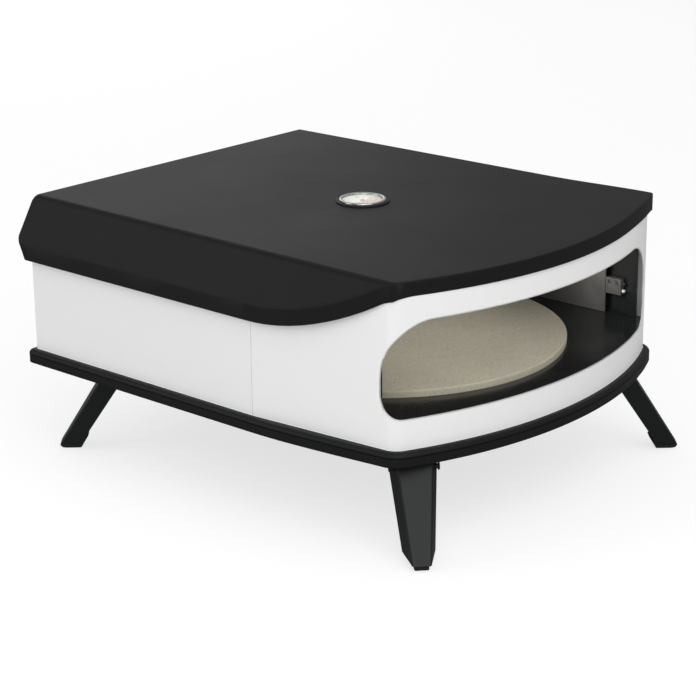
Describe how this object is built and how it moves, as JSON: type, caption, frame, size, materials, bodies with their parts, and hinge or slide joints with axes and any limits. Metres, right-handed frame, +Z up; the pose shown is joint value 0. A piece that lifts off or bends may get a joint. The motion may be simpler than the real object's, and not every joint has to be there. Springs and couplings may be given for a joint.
{
  "type": "portable pizza oven",
  "caption": "Portable gas pizza oven: white bent-sheet body under a black lid with a dial thermometer, wide arched mouth, turning round stone, folding legs and a rear gas knob.",
  "frame": {"origin": "on the ground, under the middle of the whole oven's length and width", "axes": "+Z up, the mouth faces -Y, the burner and gas knob are on the +X side"},
  "size_m": [0.5158, 0.6931, 0.3123],
  "materials": {
    "white_enamel": "satin powder coat",
    "black_enamel": "satin heat-proof enamel",
    "dark_enamel": "glossy vitreous enamel",
    "dark_steel": "heat-darkened sheet",
    "black_coat": "satin powder coat",
    "leg_coat": "satin powder coat",
    "foot_rubber": "matt moulded",
    "seat_rubber": "matt moulded",
    "knob_plastic": "matt moulded",
    "steel": "brushed",
    "galvanised": "galvanised",
    "chrome": "polished",
    "brass": "turned",
    "ceramic": "glazed ceramic",
    "stone": "fired cordierite, matt",
    "wool": "pressed ceramic wool",
    "dial": "printed matt",
    "needle": "painted",
    "glass": "clear"
  },
  "bodies": {
    "oven_body": {"front_panel": "white_enamel", "rear_panel": "white_enamel", "inner_liner": "dark_enamel", "lid_cover": "black_enamel", "ceiling_plate": "dark_enamel", "lid_insulation": "wool", "base_tray": "black_enamel", "front_floor_rail": "galvanised", "rear_floor_rail": "galvanised", "cooking_floor": "dark_enamel", "spindle_bearing": "brass", "thermometer_seat": "seat_rubber", "thermometer_case": "steel", "thermometer_bezel": "chrome", "thermometer_lens": "glass", "thermometer_dial": "dial", "thermometer_nut": "steel", "burner_tube": "steel", "front_burner_stand": "steel", "rear_burner_stand": "steel", "igniter_shield": "dark_steel", "flame_guard": "dark_steel", "igniter_bracket": "dark_steel", "igniter_electrode": "ceramic", "flame_probe": "steel", "control_cover": "black_coat", "gas_valve": "brass", "gas_injector": "brass", "gas_inlet": "brass", "knob_scale": "steel", "left_lid_screw": "steel", "middle_lid_screw": "steel", "right_lid_screw": "steel", "front_left_leg_pin": "steel", "front_left_leg_bracket": "black_coat", "front_right_leg_pin": "steel", "front_right_leg_bracket": "black_coat", "rear_left_leg_pin": "steel", "rear_left_leg_bracket": "black_coat", "rear_right_leg_pin": "steel", "rear_right_leg_bracket": "black_coat"},
    "turning_stone": {"baking_stone": "stone", "stone_carrier": "steel"},
    "dial_needle": {"thermometer_needle": "needle"},
    "valve_shaft": {"valve_shaft": "brass"},
    "control_knob": {"control_knob": "knob_plastic"},
    "front_left_leg": {"front_left_leg": "leg_coat", "front_left_leg_foot": "foot_rubber"},
    "front_right_leg": {"front_right_leg": "leg_coat", "front_right_leg_foot": "foot_rubber"},
    "rear_left_leg": {"rear_left_leg": "leg_coat", "rear_left_leg_foot": "foot_rubber"},
    "rear_right_leg": {"rear_right_leg": "leg_coat", "rear_right_leg_foot": "foot_rubber"}
  },
  "joints": [
    {"name": "stone_turn", "type": "hinge", "parent": "oven_body", "child": "turning_stone", "pos_m": [-0.0211, -0.08355, 0.15], "axis": [0, 0, 1], "continuous": true},
    {"name": "needle_turn", "type": "hinge", "parent": "oven_body", "child": "dial_needle", "pos_m": [0, -0.03485, 0.308], "axis": [0, 0, -1], "range_deg": [0, 270]},
    {"name": "knob_push", "type": "slide", "parent": "oven_body", "child": "valve_shaft", "axis": [0, -1, 0], "range_m": [0, 0.004], "stiffness_N_per_m": 600, "springref_m": -0.003},
    {"name": "knob_turn", "type": "hinge", "parent": "valve_shaft", "child": "control_knob", "pos_m": [0.227, 0.3315, 0.176], "axis": [0, 1, 0], "range_deg": [0, 210]},
    {"name": "front_left_leg_fold", "type": "hinge", "parent": "oven_body", "child": "front_left_leg", "pos_m": [-0.196, -0.27745, 0.0933], "axis": [0.7337, -0.6794, 0], "range_deg": [0, 121]},
    {"name": "front_right_leg_fold", "type": "hinge", "parent": "oven_body", "child": "front_right_leg", "pos_m": [0.196, -0.27745, 0.0933], "axis": [0.7337, 0.6794, 0], "range_deg": [0, 121]},
    {"name": "rear_left_leg_fold", "type": "hinge", "parent": "oven_body", "child": "rear_left_leg", "pos_m": [-0.196, 0.19835, 0.0933], "axis": [-0.7337, -0.6794, 0], "range_deg": [0, 121]},
    {"name": "rear_right_leg_fold", "type": "hinge", "parent": "oven_body", "child": "rear_right_leg", "pos_m": [0.196, 0.19835, 0.0933], "axis": [-0.7337, 0.6794, 0], "range_deg": [0, 121]}
  ]
}
